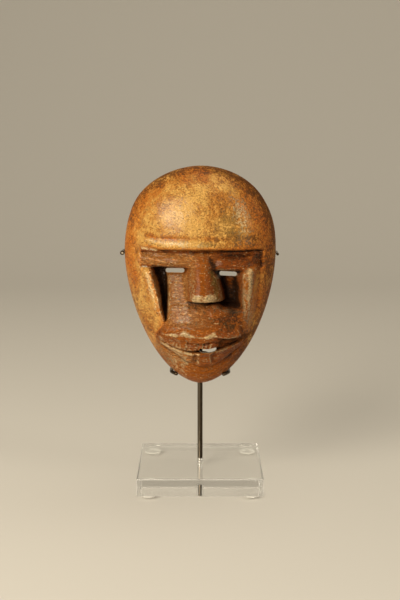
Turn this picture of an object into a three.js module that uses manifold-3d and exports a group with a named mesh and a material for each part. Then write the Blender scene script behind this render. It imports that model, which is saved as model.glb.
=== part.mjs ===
// A miniature carved wooden face mask on its display stand.
// The mask is one hollowed shell of wood. Four wire prongs grip its edge, two at its widest level and
// two beside the chin. They are the ends of two steel wires fixed across a steel rod, and the rod
// stands in a hole in a clear acrylic block on four low clear pads.
// Millimetres, +Z up. The mask faces -Y, and the origin is on the floor under the block's centre.

import * as THREE from "three";
import { mergeVertices } from "three/addons/utils/BufferGeometryUtils.js";
import Module from "manifold-3d";

// Stand
const blockSide = 70;
const blockThickness = 10;
const blockEdgeChamfer = 0.4;
const padRadius = 5;
const padHeight = 2.5;
const padFromCentre = 28.5;
const rodRadius = 1.5;
const rodY = 5.7;
const rodSocketDepth = 8.5;
const wireRadius = 1.05;
const touchGap = 0.3;

// Mask: the egg outline, and its place over the floor
const maskHalfWidth = 42.1;
const crownHeight = 46.2;
const chinDrop = 75.9;
const widestLevelZ = 136;
const rimPlaneY = 1.4;
const contourHeight = 7;
const domeHeight = 33.5;
const mountedSlope = 0.02;

// Fineness of the mask's surface
const rowCount = 64;
const frontColumns = 42;
const backColumns = 12;

const blockTopZ = padHeight + blockThickness;
const clipY = rodY - rodRadius - wireRadius - touchGap;

const mix = (from, to, share) => from + (to - from) * share;
const limit = (value) => Math.min(1, Math.max(0, value));
const hump = (value, centre, halfWidth) => Math.exp(-(((value - centre) / halfWidth) ** 2));
const softMax = (a, b, blend) => 0.5 * (a + b + Math.sqrt((a - b) ** 2 + blend ** 2));

// 0 at the start, 1 at the end and smooth between them. The start may lie above the end.
function ramp(start, end, value) {
  const share = limit((value - start) / (end - start));
  return share * share * (3 - 2 * share);
}

// The mask's shape is written on its own face plane: x to the viewer's right, and the level, which is
// the height over the widest level. Heights are counted forwards from the plane of the back rim.

// How far a level lies along the egg's axis: 1 at the crown and at the chin
function levelShare(level) {
  return level > 0 ? limit(level / crownHeight) ** 2.4 : limit(-level / chinDrop) ** 1.74;
}

const roundness = (level) => mix(1.8, 1.89, ramp(-12, 12, level));

const halfWidthAt = (level) => maskHalfWidth * (1 - levelShare(level)) ** (1 / roundness(level));

// 0 on the egg's axis and 1 on its outline
function outlineShare(x, level) {
  const across = (Math.abs(x) / maskHalfWidth) ** roundness(level);
  return Math.min(1, Math.sqrt(across + levelShare(level)));
}

function domeAt(x, level) {
  const share = outlineShare(x, level);
  return contourHeight + (domeHeight - contourHeight) * Math.sqrt(1 - share ** 2.2);
}

// The brow is a rolled edge that overhangs a sunk band, and the two lids fill the band
const browEdge = (x) => 1.2 + 0.006 * x;
const browRoll = { height: 0.75, halfWidth: 2.2, grooveDepth: 0.35, halfLength: 32.8 };
const band = { left: -33.3, right: 34.6, endSlope: 0.6, height: 27.6, backSweep: 0.0064, bulge: 1.5 };
const lidEdge = (x) => -8.8 - 0.03 * Math.max(0, x) + 3 * ramp(22, 30, x);

function carveBrow(x, level, dome) {
  const edge = browEdge(x);
  const lower = lidEdge(x);
  const along = ramp(browRoll.halfLength + 4.2, browRoll.halfLength - 0.8, Math.abs(x - 0.8));
  const roll = browRoll.height * hump(level, edge + 2.6, browRoll.halfWidth);
  const groove = browRoll.grooveDepth * hump(level, edge + 6, 1);
  const fromMiddle = limit(Math.abs((level - (edge + lower) / 2) / ((edge - lower) / 2)) / 1.2) * 1.2;
  const lid = band.height - band.backSweep * x * x + band.bulge * (1 - fromMiddle ** 2);
  const inBand =
    ramp(band.left - band.endSlope, band.left + band.endSlope, x) *
    ramp(band.right + band.endSlope, band.right - band.endSlope, x) *
    ramp(edge + 0.35, edge - 0.35, level) *
    ramp(lower - 1, lower - 0.2, level);
  return mix(dome + along * (roll - groove), Math.min(lid, dome - 2), inBand);
}

// Left of the nose a flat cheek stands behind a deep groove that narrows downwards
const cheek = { edgeX: -18.1, topHeight: 21, bottomHeight: 28.6, grooveHeight: 14, length: 34 };

function carveLeftPocket(x, level, height) {
  const top = lidEdge(x);
  const down = limit((top - level) / cheek.length);
  const crestX = -32 + 13 * down ** 0.8;
  const footX = -24.6 + 8.2 * down;
  const groove = mix(cheek.grooveHeight, 24, ramp(0.35, 0.8, down));
  const flat = mix(cheek.topHeight, cheek.bottomHeight, down ** 0.75) - 0.006 * (x + 8) ** 2;
  const floor = mix(groove, flat, ramp(cheek.edgeX - 0.8, cheek.edgeX + 0.7, x));
  const wall = 1 - (1 - ramp(crestX, footX, x)) ** 0.7;
  const inside = wall * ramp(top + 0.1, top - 0.7, level) * ramp(0.84, 0.62, down) * ramp(1.5, 0.5, x);
  return mix(height, Math.min(height, floor), inside);
}

// Right of the nose the pocket is deep over its whole width, beside a raised lobe of cheek
const pocket = { floorHeight: 14.2, topLevel: -8.4, bottomLevel: -28, crestX: 25.2, footX: 21.6 };
const lobe = { rise: 1.7, halfWidth: 4, grooveDepth: 1.5 };

function carveRightPocket(x, level, height) {
  const down = limit((lidEdge(x) - level) / cheek.length);
  const inside =
    ramp(pocket.crestX - 1.5 * down, pocket.footX - 0.3 * down, x) *
    ramp(pocket.topLevel, pocket.topLevel - 0.8, level) *
    ramp(pocket.bottomLevel - 0.6, pocket.bottomLevel + 0.6, level) *
    ramp(-0.5, 0.5, x);
  const raised =
    lobe.rise * hump(x, 28.2 - 3.5 * down ** 2, lobe.halfWidth) *
    ramp(-4.5, -9, level) * ramp(-46, -30, level) * (1 - inside);
  const groove =
    lobe.grooveDepth * hump(x, 34.4 - 4.5 * down ** 1.5, 1.4) *
    ramp(-2, -6, level) * ramp(-40, -20, level);
  return mix(height, Math.min(height, pocket.floorHeight), inside) + raised - groove;
}

// The nose is a wedge that widens and rises down to its cut tip
const nose = { topLevel: 0.2, length: 26, topHalf: 3.6, tipHalf: 7.1, topHeight: 27.4, tipRise: 7.9 };

function noseAt(x, level) {
  const down = limit((nose.topLevel - level) / nose.length);
  const aside = x - 0.4 - 2.2 * down;
  const half = mix(nose.topHalf, nose.tipHalf, down);
  const height = nose.topHeight + nose.tipRise * down ** 0.9 - 0.02 * aside ** 2;
  const leftSide = ramp(-half - 2 - 0.8 * down, -half + 0.5, aside);
  const rightSide = ramp(half + 2.4 + 1.6 * down, half - 0.6, aside);
  const tipLevel = nose.topLevel - nose.length;
  const ends = ramp(tipLevel - 1.1, tipLevel - 0.1, level) * ramp(4, -1.5, level);
  return mix(13, height, leftSide * rightSide * ends);
}

// The muzzle swells down to the wavy edge of the upper lip
const muzzle = { topLevel: -27.5, length: 17.5, topHeight: 29.4, lipHeight: 32.4 };

function lipEdge(x) {
  const wave = 0.8 * hump(x, -8.6, 2.4) + 0.6 * hump(x, 7, 2.6) - 0.9 * hump(x, 0.5, 4);
  return -45.6 + wave - 2.2 * ramp(8, 11, x) + 0.0026 * Math.max(0, x) ** 2;
}

function muzzleAt(x, level) {
  const down = limit((muzzle.topLevel - level) / muzzle.length);
  const lip = lipEdge(x);
  const height =
    mix(muzzle.topHeight, muzzle.lipHeight, down ** 0.85) - 0.0125 * (x - 2.2) ** 2 -
    0.5 * hump(level, -40.6, 1) * hump(x, 0, 18) +
    0.6 * hump(level, lip + 1.2, 1.3);
  const inside =
    ramp(muzzle.topLevel + 0.9, muzzle.topLevel - 0.7, level) *
    ramp(lip - 0.3, lip + 0.3, level) *
    ramp(-22, -17.8, x) * ramp(27, 21.6, x);
  return mix(12, height, inside);
}

// The mouth is a crooked gap. Gum and teeth show above it, and it is open to the right of them.
const mouth = { left: -22, right: 25.2, gumHeight: 30.2, toothStep: 1.1, openDepth: 8, gapDepth: 6 };
const mouthLine = (x) => -54.3 + 0.0135 * (x + 2) ** 2;
const toothNicks = [-7.4, -0.8, 3.4];
const lipNicks = [-1.2, 6.6];

function carveMouth(x, level, height) {
  const line = mouthLine(x);
  const lip = lipEdge(x);
  const along = ramp(mouth.left - 1.5, mouth.left + 1.5, x) * ramp(mouth.right + 1.8, mouth.right - 1.7, x);
  const gum = mouth.gumHeight - 0.0125 * (x - 1) ** 2;
  const nicks = toothNicks.reduce((sum, at) => sum + hump(x, at, 0.5), 0);
  const teeth = gum - mouth.toothStep - 0.6 * nicks;
  const inner = mix(teeth, gum, ramp(lip - 3.2, lip - 2.4, level)) - mouth.openDepth * ramp(8, 10.5, x);
  const behind = ramp(lip + 0.3, lip - 0.3, level) * ramp(line - 0.1, line + 0.4, level);
  let cut = mix(height, inner, along * behind);
  // The lower lip leans back into the chin
  const lipFoot = line - mix(2.5, 10, hump(x, 4, 14));
  const notches = lipNicks.reduce((sum, at) => sum + hump(x, at, 0.6), 0) * ramp(line - 6, line - 2, level);
  const lower = 28.2 - 0.0135 * (x - 1) ** 2 - 0.82 * Math.max(0, line - level) - 0.5 * notches;
  const onLip = ramp(lipFoot - 0.6, lipFoot + 1.2, level) * ramp(line + 0.1, line - 0.3, level) * along;
  cut = mix(cut, Math.max(cut, lower), onLip) - 0.25 * hump(level, lipFoot - 0.2, 0.9) * along;
  const gap = hump(level, line + 0.4, 0.8 + 0.3 * ramp(-2, 14, x)) * along;
  return cut - mouth.gapDepth * gap * mix(0.3, 1, ramp(-7, 1, x));
}

function frontHeight(x, level) {
  const dome = domeAt(x, level);
  let height = carveBrow(x, level, dome);
  height = carveLeftPocket(x, level, height);
  height = carveRightPocket(x, level, height);
  height = softMax(height, noseAt(x, level), 0.9);
  height = softMax(height, muzzleAt(x, level), 0.6);
  height = carveMouth(x, level, height);
  // All carving dies out before the edge
  return mix(dome, height, ramp(1, 0.93, outlineShare(x, level)));
}

// The back of the block of wood: flat, with a rounded outer edge
const edgeRound = 0.07;

function backHeight(x, level) {
  const turn = limit((outlineShare(x, level) - 1 + edgeRound) / edgeRound);
  return contourHeight * (1 - Math.sqrt(1 - turn ** 2));
}

// Positions between two ends that lie closer together beside each of the given steps
function crowded(from, to, count, steps, strength, reach) {
  const samples = 3000;
  const total = [0];
  for (let i = 1; i <= samples; i++) {
    const at = mix(from, to, (i - 0.5) / samples);
    const toEnd = Math.min(Math.abs(at - from), Math.abs(at - to));
    const near = steps.reduce((sum, step) => sum + strength * hump(at, step, reach), 0);
    total.push(total[i - 1] + 1 + near + 1.2 / Math.sqrt(toEnd + 0.05));
  }
  const places = [from];
  for (let n = 1, i = 0; n < count; n++) {
    const wanted = (n / count) * total[samples];
    while (total[i + 1] < wanted) i++;
    places.push(mix(from, to, (i + (wanted - total[i]) / (total[i + 1] - total[i])) / samples));
  }
  return [...places, to];
}

const carvedLevels = [1.2, -8.9, -27, -45.8, mouthLine(-2), -63.5];
const carvedSides = [-33.3, -24, cheek.edgeX, -5.2, 5.2, 9.5, 22.2, 34.6];
const rowLevels = crowded(crownHeight, -chinDrop, rowCount, carvedLevels, 2.4, 1.2);
const frontX = crowded(-maskHalfWidth, maskHalfWidth, frontColumns, carvedSides, 1.3, 1.6);
const backX = crowded(maskHalfWidth, -maskHalfWidth, backColumns, [], 0, 1);

// A column keeps its place where the mask is wide and closes in with the outline elsewhere
function columnX(wideX, level) {
  const narrowing = 1 - halfWidthAt(level) / maskHalfWidth;
  const power = Math.min(6, Math.max(0, 0.8 / Math.max(narrowing, 0.001) - 1));
  return wideX * (1 - narrowing * (Math.abs(wideX) / maskHalfWidth) ** power);
}

// A sphere's rows and columns laid over the front and back, with rows bent along the mouth
function maskBlank() {
  const columns = frontColumns + backColumns;
  const sphere = new THREE.SphereGeometry(1, columns, rowCount);
  const place = sphere.attributes.position;
  const uv = sphere.attributes.uv;
  for (let i = 0; i < place.count; i++) {
    const row = Math.round((1 - uv.getY(i)) * rowCount);
    const atPole = row === 0 || row === rowCount;
    const column = atPole ? 0 : Math.round(uv.getX(i) * columns) % columns;
    const inFront = column <= frontColumns;
    const wideX = inFront ? frontX[column] : backX[column - frontColumns];
    const straight = rowLevels[row];
    const bend = 0.0135 * (columnX(wideX, straight) + 2) ** 2 * hump(straight, mouthLine(-2), 11);
    const level = atPole ? straight : straight + bend * ramp(-chinDrop, -chinDrop + 8, straight);
    const x = atPole ? 0 : columnX(wideX, level);
    const onOutline = atPole || column === 0 || column === frontColumns;
    const carved = inFront ? frontHeight(x, level) : backHeight(x, level);
    place.setXYZ(i, x, rimPlaneY - (onOutline ? contourHeight : carved), level - mountedSlope * x);
  }
  return sphere;
}

// The hollow is a bowl that opens through the back and is shallow behind the eyes
const hollow = { side: 0.845, crown: 0.86, chin: 0.875, depth: 24, eyeRise: 16.5, rings: 14, spokes: 44 };

function hollowHeight(share, level) {
  const bowl = hollow.depth * (1 - share ** 2.6) ** 0.55;
  const eyes = hollow.eyeRise * hump(level, -17, 14) * (1 - share ** 4);
  return Math.max(0.4 * bowl * (1 - share), bowl - eyes);
}

function hollowCutter() {
  const sphere = new THREE.SphereGeometry(1, hollow.spokes, hollow.rings);
  const place = sphere.attributes.position;
  const uv = sphere.attributes.uv;
  const lastRing = hollow.rings - 1;
  for (let i = 0; i < place.count; i++) {
    const ring = Math.round((1 - uv.getY(i)) * hollow.rings);
    const turn = 2 * Math.PI * Math.round(uv.getX(i) * hollow.spokes) / hollow.spokes;
    const upward = Math.cos(turn) >= 0;
    const lengthwise = Math.abs(Math.cos(turn)) ** (upward ? 2 / 2.4 : 2 / 1.74);
    const edgeLevel = upward ? crownHeight * lengthwise : -chinDrop * lengthwise;
    const edgeX = Math.sign(Math.sin(turn)) * halfWidthAt(edgeLevel);
    const share = ring >= lastRing ? 1 : Math.sin((Math.PI / 2) * (ring / (lastRing - 1)));
    const reach = ring === 0 || ring === hollow.rings ? 0 : share;
    const x = -edgeX * hollow.side * reach;
    const level = edgeLevel * (upward ? hollow.crown : hollow.chin) * reach - 6 * (1 - reach);
    const height = ring >= lastRing ? -3 : hollowHeight(reach, level);
    place.setXYZ(i, x, rimPlaneY - height, level - mountedSlope * x);
  }
  return sphere;
}

// manifold-3d makes the cuts
const wasm = await Module();
wasm.setup();

function toSolid(geometry) {
  const bare = geometry.clone();
  bare.deleteAttribute("normal");
  bare.deleteAttribute("uv");
  const merged = mergeVertices(bare, 1e-4);
  return new wasm.Manifold(
    new wasm.Mesh({
      numProp: 3,
      vertProperties: new Float32Array(merged.attributes.position.array),
      triVerts: new Uint32Array(merged.index.array),
    }),
  );
}

function toGeometry(solid) {
  const mesh = solid.getMesh();
  const geometry = new THREE.BufferGeometry();
  geometry.setAttribute("position", new THREE.BufferAttribute(new Float32Array(mesh.vertProperties), 3));
  geometry.setIndex(new THREE.BufferAttribute(new Uint32Array(mesh.triVerts), 1));
  geometry.computeVertexNormals();
  return geometry;
}

// Openings that pass through the wood
const eyeSlits = [
  { x: -13.6, level: -10.6, width: 10.4, height: 3 },
  { x: 15.9, level: -11.2, width: 9.6, height: 2.8 },
];
const mouthHole = { x: 4.6, level: -53.4, width: 8.4, height: 2.2 };

function slotCutter({ x, level, width, height }) {
  const radius = height / 2;
  const reach = width / 2 - radius;
  const outline = new THREE.Shape();
  outline.absarc(reach, 0, radius, -Math.PI / 2, Math.PI / 2, false);
  outline.absarc(-reach, 0, radius, Math.PI / 2, (3 * Math.PI) / 2, false);
  const length = 60;
  const prism = new THREE.ExtrudeGeometry(outline, { depth: length, bevelEnabled: false, curveSegments: 3 });
  prism.rotateX(Math.PI / 2);
  prism.translate(x, length / 2 - 20, level - mountedSlope * x);
  return toSolid(prism);
}

function makeMask() {
  let wood = toSolid(maskBlank()).subtract(toSolid(hollowCutter()));
  for (const opening of [...eyeSlits, mouthHole]) wood = wood.subtract(slotCutter(opening));
  const honeyWood = new THREE.MeshStandardMaterial({ color: 0xa8662c, roughness: 0.42, metalness: 0 });
  const mask = new THREE.Mesh(toGeometry(wood), honeyWood);
  mask.name = "mask";
  mask.position.z = widestLevelZ;
  return mask;
}

const darkSteel = () => new THREE.MeshStandardMaterial({ color: 0x4a3f33, roughness: 0.38, metalness: 0.9 });
const clearRubber = () =>
  new THREE.MeshStandardMaterial({ color: 0xebe8e0, roughness: 0.2, transparent: true, opacity: 0.45 });

// The rod stands in the block's socket and ends just over the upper wire
const upperClipLevel = -1.6;
const rodOverClip = 4;

function makeRod() {
  const footZ = blockTopZ - rodSocketDepth + touchGap;
  const topZ = widestLevelZ + upperClipLevel + rodOverClip;
  const bevel = 0.3;
  const profile = [
    new THREE.Vector2(0, footZ),
    new THREE.Vector2(rodRadius, footZ),
    new THREE.Vector2(rodRadius, topZ - bevel),
    new THREE.Vector2(rodRadius - bevel, topZ),
    new THREE.Vector2(0, topZ),
  ];
  const geometry = new THREE.LatheGeometry(profile, 20);
  geometry.rotateX(Math.PI / 2);
  const rod = new THREE.Mesh(toGeometry(toSolid(geometry)), darkSteel());
  rod.name = "stand_rod";
  rod.position.y = rodY;
  return rod;
}

// A wire crosses the rod behind the mask, and its two ends turn forwards round the mask's edge
function makeClip(name, halfRoute, bendReach) {
  const mirrored = halfRoute.map((at) => new THREE.Vector3(-at.x, at.y, at.z)).reverse();
  const corners = [...mirrored, ...halfRoute];
  const path = new THREE.CurvePath();
  let last = corners[0];
  for (let i = 1; i < corners.length - 1; i++) {
    const towards = (other) => other.clone().sub(corners[i]).setLength(bendReach).add(corners[i]);
    const before = towards(corners[i - 1]);
    const after = towards(corners[i + 1]);
    path.add(new THREE.LineCurve3(last, before));
    path.add(new THREE.QuadraticBezierCurve3(before, corners[i], after));
    last = after;
  }
  path.add(new THREE.LineCurve3(last, corners[corners.length - 1]));
  const section = new THREE.Shape();
  section.absarc(0, 0, wireRadius, 0, 2 * Math.PI, false);
  const geometry = new THREE.ExtrudeGeometry(section, { extrudePath: path, steps: 30, curveSegments: 5 });
  const clip = new THREE.Mesh(toGeometry(toSolid(geometry)), darkSteel());
  clip.name = name;
  return clip;
}

function makeUpperClip() {
  const sideX = maskHalfWidth + wireRadius + touchGap;
  const levelZ = widestLevelZ + upperClipLevel;
  return makeClip("upper_clip_wire", [
    new THREE.Vector3(sideX, clipY, levelZ),
    new THREE.Vector3(sideX, -8, levelZ),
  ], 2.2);
}

// The lower wire's arms drop from the rod to the edge beside the chin, and its tips bend inwards
function makeLowerClip() {
  const gripLevel = -68.6;
  const off = wireRadius + touchGap + 0.3;
  const gripX = halfWidthAt(gripLevel) + 0.67 * off;
  const gripZ = widestLevelZ + gripLevel - 0.74 * off;
  return makeClip("lower_clip_wire", [
    new THREE.Vector3(3.5, clipY, gripZ + 9),
    new THREE.Vector3(gripX, clipY, gripZ),
    new THREE.Vector3(gripX, -6, gripZ),
    new THREE.Vector3(gripX - 2.6, -11.5, gripZ - 0.9),
  ], 2);
}

// The block has bevelled edges and a blind socket for the rod
function makeBlock() {
  const half = blockSide / 2;
  const inner = half - blockEdgeChamfer;
  const square = new THREE.Shape([
    new THREE.Vector2(-inner, -inner),
    new THREE.Vector2(inner, -inner),
    new THREE.Vector2(inner, inner),
    new THREE.Vector2(-inner, inner),
  ]);
  const slab = new THREE.ExtrudeGeometry(square, {
    depth: blockThickness - 2 * blockEdgeChamfer,
    bevelThickness: blockEdgeChamfer,
    bevelSize: blockEdgeChamfer,
    bevelSegments: 1,
  });
  slab.translate(0, 0, padHeight + blockEdgeChamfer);
  const socketRadius = rodRadius + touchGap;
  const over = 1;
  const drill = new THREE.CylinderGeometry(socketRadius, socketRadius, rodSocketDepth + over, 20);
  drill.rotateX(Math.PI / 2);
  drill.translate(0, rodY, blockTopZ - rodSocketDepth + (rodSocketDepth + over) / 2);
  const clearAcrylic = new THREE.MeshStandardMaterial({
    color: 0xf2f0ea, roughness: 0.03, transparent: true, opacity: 0.3,
  });
  const block = new THREE.Mesh(toGeometry(toSolid(slab).subtract(toSolid(drill))), clearAcrylic);
  block.name = "acrylic_block";
  return block;
}

function makePad(name, x, y) {
  const topZ = padHeight - touchGap / 2;
  const profile = [
    new THREE.Vector2(0, 0),
    new THREE.Vector2(padRadius - 1, 0),
    new THREE.Vector2(padRadius - 0.3, 0.7),
    new THREE.Vector2(padRadius, topZ),
    new THREE.Vector2(0, topZ),
  ];
  const geometry = new THREE.LatheGeometry(profile, 20);
  geometry.rotateX(Math.PI / 2);
  const pad = new THREE.Mesh(toGeometry(toSolid(geometry)), clearRubber());
  pad.name = name;
  pad.position.set(x, y, 0);
  return pad;
}

const displayedMask = new THREE.Group();
displayedMask.add(makeMask());
displayedMask.add(makeRod());
displayedMask.add(makeUpperClip());
displayedMask.add(makeLowerClip());
displayedMask.add(makeBlock());
for (const [depth, y] of [["front", -padFromCentre], ["back", padFromCentre]]) {
  for (const [side, x] of [["left", -padFromCentre], ["right", padFromCentre]]) {
    displayedMask.add(makePad(`pad_${depth}_${side}`, x, y));
  }
}

export default displayedMask;
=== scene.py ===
import math
import bmesh
import bpy
import numpy as np
from mathutils import Matrix, Vector, noise


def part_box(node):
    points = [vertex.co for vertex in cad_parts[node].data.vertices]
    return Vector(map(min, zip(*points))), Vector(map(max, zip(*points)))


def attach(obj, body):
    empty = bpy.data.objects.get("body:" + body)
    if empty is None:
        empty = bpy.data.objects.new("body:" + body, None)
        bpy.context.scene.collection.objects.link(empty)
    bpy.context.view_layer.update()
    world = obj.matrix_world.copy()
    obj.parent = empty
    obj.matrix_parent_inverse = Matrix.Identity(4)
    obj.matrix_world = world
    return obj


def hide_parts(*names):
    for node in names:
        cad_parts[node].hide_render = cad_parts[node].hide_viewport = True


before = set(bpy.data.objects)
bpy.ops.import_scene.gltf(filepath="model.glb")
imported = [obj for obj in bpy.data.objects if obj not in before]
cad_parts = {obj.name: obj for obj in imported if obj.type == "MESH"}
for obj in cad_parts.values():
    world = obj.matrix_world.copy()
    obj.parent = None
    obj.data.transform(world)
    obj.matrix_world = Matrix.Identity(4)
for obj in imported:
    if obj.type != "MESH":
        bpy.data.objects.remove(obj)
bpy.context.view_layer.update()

scene = bpy.context.scene
mm = 0.001
print("frame loaded with", len(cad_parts), "nodes")


# small shared helpers

def mix(start, end, share):
    return start + (end - start) * share


def ramp(start, end, value):  # 0 at start, 1 at end, smooth between, and start may be the larger
    share = np.clip((value - start) / (end - start), 0, 1)
    return share * share * (3 - 2 * share)


def span(value, start, full, fade, end):  # 1 from full to fade, falling smoothly to 0 at start and at end
    return ramp(start, full, value) * ramp(end, fade, value)


def hump(value, centre, halfWidth):
    return np.exp(-(((value - centre) / halfWidth) ** 2))


def softMax(a, b, blend):  # the larger one, with the crease where they cross rounded off
    return 0.5 * (a + b + np.sqrt((a - b) ** 2 + blend**2))


def softMin(a, b, blend):
    return -softMax(-a, -b, blend)


def grain(x, y, z, octaves=1):  # smooth noise from about -1 to 1 at many points at once
    points = zip(np.ravel(x), np.ravel(y), np.ravel(z))
    if octaves == 1:
        values = (noise.noise(Vector(point)) for point in points)
    else:
        values = (noise.fractal(Vector(point), 1.0, 2.0, octaves) for point in points)
    return np.fromiter(values, float, count=np.size(x)).reshape(np.shape(x))


def addObject(name, data):
    made = bpy.data.objects.new(name, data)
    scene.collection.objects.link(made)
    return made


def toMesh(name, bm):
    mesh = bpy.data.meshes.new(name)
    bm.to_mesh(mesh)
    bm.free()
    return mesh


def toSmoothMesh(name, bm):
    bmesh.ops.recalc_face_normals(bm, faces=bm.faces)
    if bm.calc_volume(signed=True) < 0:
        bmesh.ops.reverse_faces(bm, faces=bm.faces)
    for face in bm.faces:
        face.smooth = True
    return toMesh(name, bm)


def vertsOf(geom):
    return [part for part in geom if isinstance(part, bmesh.types.BMVert)]


def setAttribute(mesh, name, values):
    made = mesh.attributes.new(name, "FLOAT", "POINT")
    made.data.foreach_set("value", np.broadcast_to(values, len(mesh.vertices)).astype(np.float32))


def addPiece(name, mesh, material, node):
    piece = addObject(name, mesh)
    mesh.materials.append(material)
    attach(piece, "root")
    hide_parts(node)
    return piece


def cutAway(piece, cutters, solver):
    helpers = [addObject("cutter", cutter) for cutter in cutters]
    for helper in helpers:
        cut = piece.modifiers.new("cut", "BOOLEAN")
        cut.operation = "DIFFERENCE"
        cut.solver = solver
        cut.object = helper
    depsgraph = bpy.context.evaluated_depsgraph_get()
    finished = bpy.data.meshes.new_from_object(piece.evaluated_get(depsgraph))
    piece.modifiers.clear()
    spare, piece.data = piece.data, finished
    bpy.data.meshes.remove(spare)
    finished.name = piece.name
    for helper in helpers:
        bpy.data.objects.remove(helper)


# shader writing: a socket that can be added, subtracted and multiplied

class Wire:
    def __init__(self, shader, socket):
        self.shader = shader
        self.socket = socket

    def maths(self, operation, *values):
        return self.shader.node("ShaderNodeMath", {"operation": operation}, *values)

    def __add__(self, other):
        return self.maths("ADD", self, other)

    def __sub__(self, other):
        return self.maths("SUBTRACT", self, other)

    def __rsub__(self, other):
        return self.maths("SUBTRACT", other, self)

    def __mul__(self, other):
        return self.maths("MULTIPLY", self, other)

    __radd__ = __add__
    __rmul__ = __mul__


def setStops(colorRamp, stops):
    colorRamp.elements.remove(colorRamp.elements[-1])
    for index, (place, colour) in enumerate(stops):
        element = colorRamp.elements[0] if index == 0 else colorRamp.elements.new(place)
        element.position = place
        element.color = (*colour, 1)


class Shader:
    def __init__(self, name):
        self.material = bpy.data.materials.new(name)
        self.material.use_nodes = True
        self.nodes = self.material.node_tree.nodes
        self.links = self.material.node_tree.links

    def feed(self, sockets, key, value):
        target = sockets[key.replace("_", " ") if isinstance(key, str) else key]
        if isinstance(value, Wire):
            self.links.new(value.socket, target)
        else:
            target.default_value = (*value, 1) if target.type == "RGBA" else value

    def node(self, kind, settings=None, *values, output=0, **named):  # a value of None leaves its socket be
        made = self.nodes.new(kind)
        for key, value in (settings or {}).items():
            if key == "stops":
                setStops(made.color_ramp, value)
            else:
                setattr(made, key, value)
        for key, value in [*enumerate(values), *named.items()]:
            if value is not None:
                self.feed(made.inputs, key, value)
        return Wire(self, made.outputs[output])

    def objectPoint(self):
        return self.node("ShaderNodeTexCoord", output="Object")

    def attribute(self, name):
        return self.node("ShaderNodeAttribute", {"attribute_name": name}, output="Fac")

    def scaled(self, vector, scale, turn=(0, 0, 0)):
        return self.node("ShaderNodeMapping", Vector=vector, Scale=scale, Rotation=turn)

    def noise(self, vector, scale, detail, roughness, distortion=0.0):
        return self.node("ShaderNodeTexNoise", Vector=vector, Scale=scale, Detail=detail,
                         Roughness=roughness, Distortion=distortion)

    def between(self, value, low, high):  # 0 under low and 1 over high, smooth between
        return self.node("ShaderNodeMapRange", {"interpolation_type": "SMOOTHSTEP"}, Value=value,
                         From_Min=low, From_Max=high)

    def blend(self, factor, first, second):  # the Mix node keeps its colours in sockets 6 and 7
        return self.node("ShaderNodeMix", {"data_type": "RGBA"}, factor, *[None] * 5, first, second, output=2)

    def bump(self, height, strength, distance):
        return self.node("ShaderNodeBump", Height=height, Strength=strength, Distance=distance)

    def finish(self, **sockets):
        for key, value in sockets.items():
            self.feed(self.nodes["Principled BSDF"].inputs, key, value)
        return self.material


# camera: the photograph's own place and lens

cameraFit = {
    "distance": 0.6424,  # in front of the stand's centre
    "height": 0.2117,
    "aside": 0.0006,
    "pitchDown": 9.31,  # degrees
    "turnLeft": 0.055,
    "lens": 69.12,
    "sensor": 36,  # the frame's height, in millimetres as the lens
}


def makeCamera(fit):
    data = bpy.data.cameras.new("camera")
    data.sensor_width = fit["sensor"]
    data.sensor_fit = "AUTO"
    data.lens = fit["lens"]
    data.clip_start = 0.01
    camera = addObject("camera", data)
    camera.location = (fit["aside"], -fit["distance"], fit["height"])
    camera.rotation_euler = (math.radians(90 - fit["pitchDown"]), 0, math.radians(fit["turnLeft"]))
    scene.camera = camera


makeCamera(cameraFit)
print("camera placed")


# studio: one sweep of pale paper and soft lights

studio = {
    "paperColour": (0.555, 0.532, 0.504),
    "paperWidth": 6.0,
    "paperFront": 2.5,  # metres in front of the stand
    "bendStart": 0.75,  # metres behind it
    "bendRadius": 1.1,
    "bendSteps": 48,
    "paperTop": 3.0,
    "worldColour": (1, 0.902, 0.713),
    "worldStrength": 0.24,
    "key": {"place": (-0.68, -0.84, 0.70), "size": (0.6, 0.6), "power": 12.3, "colour": (1, 0.907, 0.722)},
    "front": {"place": (-0.52, -1.0, 0.42), "size": (0.4, 0.4), "power": 7.0, "colour": (1, 0.912, 0.738)},
    "back": {"place": (1.3, 0.2, 0.9), "size": (0.6, 0.6), "power": 1.6, "colour": (1, 0.912, 0.738),
             "target": (0.9, 1.6, 0.1)},
    "side": {"place": (1.0, -0.62, 0.68), "size": (0.22, 0.7), "power": 2.6, "colour": (1, 0.921, 0.754)},
    "top": {"place": (0.3, -0.1, 1.9), "size": (2.0, 1.6), "power": 13.0, "colour": (1, 0.912, 0.73)},
}


def makePaper(sizes):
    bm = bmesh.new()
    half, start, radius = sizes["paperWidth"] / 2, sizes["bendStart"], sizes["bendRadius"]
    edge = bm.edges.new([bm.verts.new((x, -sizes["paperFront"], 0)) for x in (-half, half)])
    flat = bmesh.ops.extrude_edge_only(bm, edges=[edge])["geom"]
    bmesh.ops.translate(bm, vec=(0, sizes["paperFront"] + start, 0), verts=vertsOf(flat))
    bend = bmesh.ops.spin(bm, geom=[bm.edges.get(vertsOf(flat))], cent=(0, start, radius), axis=(1, 0, 0),
                          angle=math.radians(90), steps=sizes["bendSteps"])["geom_last"]
    wall = bmesh.ops.extrude_edge_only(bm, edges=[bm.edges.get(vertsOf(bend))])["geom"]
    bmesh.ops.translate(bm, vec=(0, 0, sizes["paperTop"] - radius), verts=vertsOf(wall))
    paper = addObject("paper_sweep", toSmoothMesh("paper_sweep", bm))
    shader = Shader("pale paper")
    paper.data.materials.append(shader.finish(Base_Color=sizes["paperColour"], Roughness=0.9,
                                              Specular_IOR_Level=0.2))


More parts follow.
